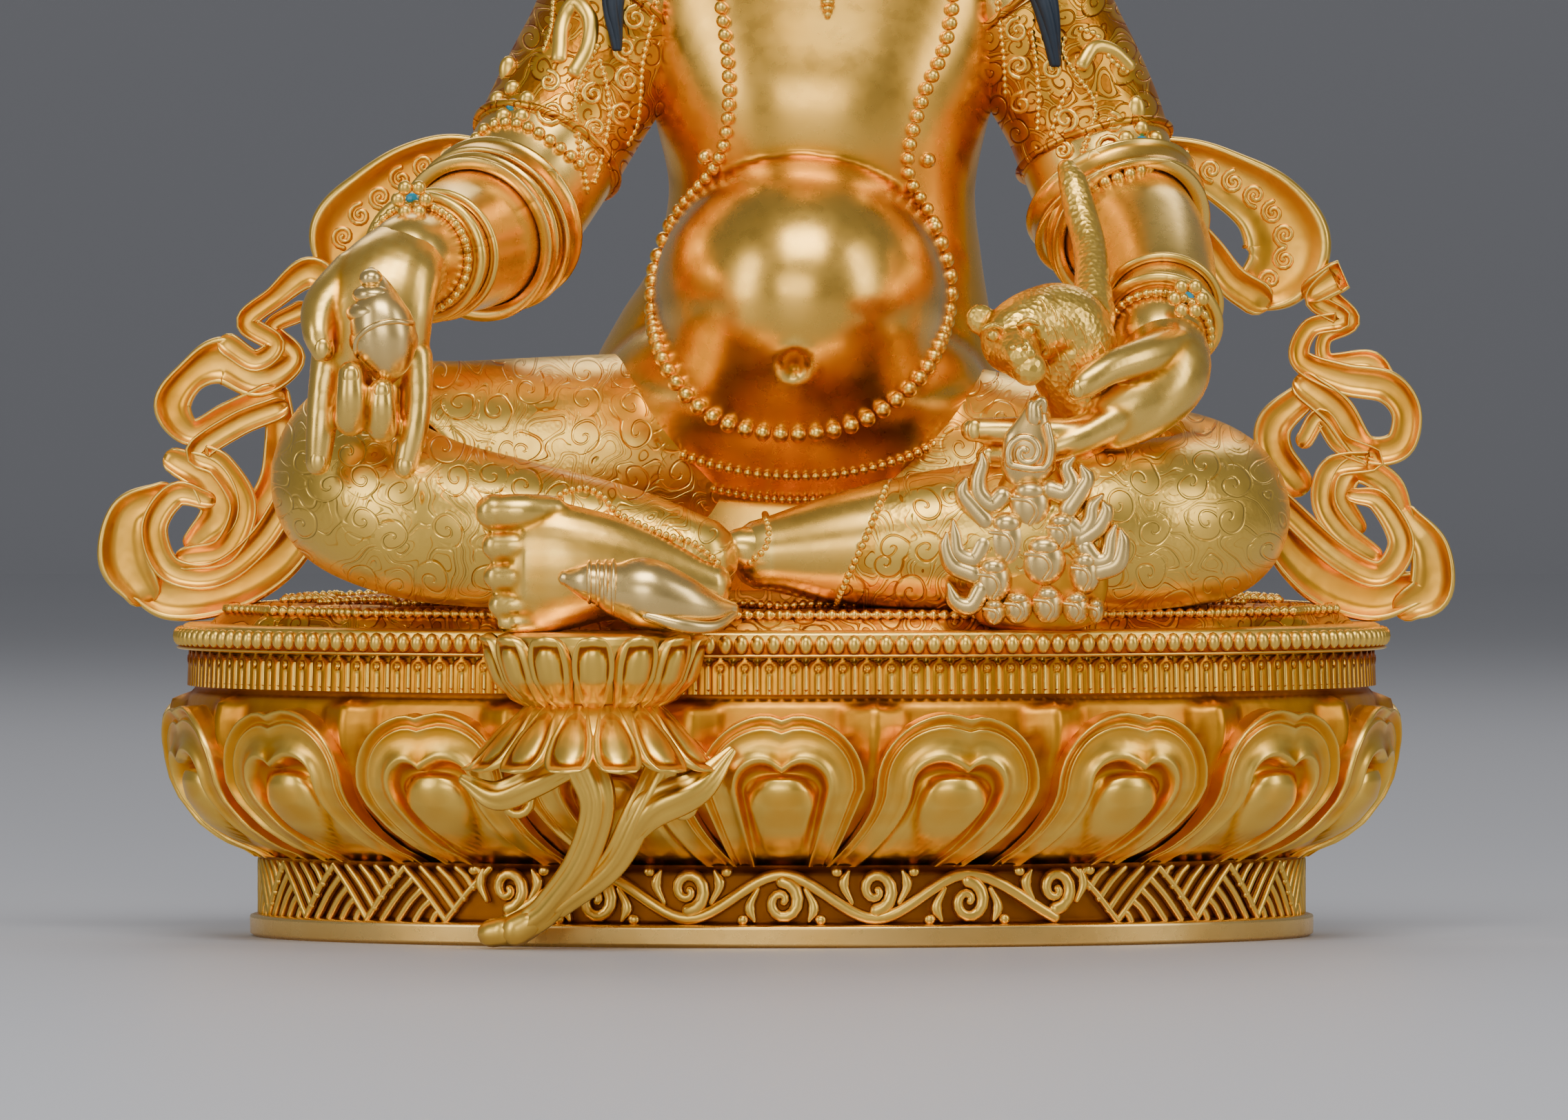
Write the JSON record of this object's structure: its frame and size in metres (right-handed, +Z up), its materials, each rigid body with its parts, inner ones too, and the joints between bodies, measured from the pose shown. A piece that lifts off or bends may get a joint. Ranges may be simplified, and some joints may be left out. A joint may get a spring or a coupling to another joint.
{
  "type": "jambhala statue",
  "caption": "Gilt copper statue of a seated wealth deity on an oval lotus base, with a mongoose, a fruit, scarves and a heap of jewels.",
  "frame": {"origin": "middle of the underside of the lotus base", "axes": "+Z up, -Y to the front that the figure faces, +X to its left hand"},
  "size_m": [0.1758, 0.1241, 0.2139],
  "materials": {
    "gilt_copper": "fire-gilt copper, burnished on the body, darker in the recesses",
    "turquoise": "polished turquoise"
  },
  "bodies": {
    "root": {"lotus_base": "gilt_copper", "figure": "gilt_copper", "turquoise_armlet_right": "turquoise", "turquoise_armlet_left": "turquoise", "turquoise_bracelet_right": "turquoise", "turquoise_bracelet_left": "turquoise", "turquoise_crown": "turquoise"}
  },
  "joints": []
}
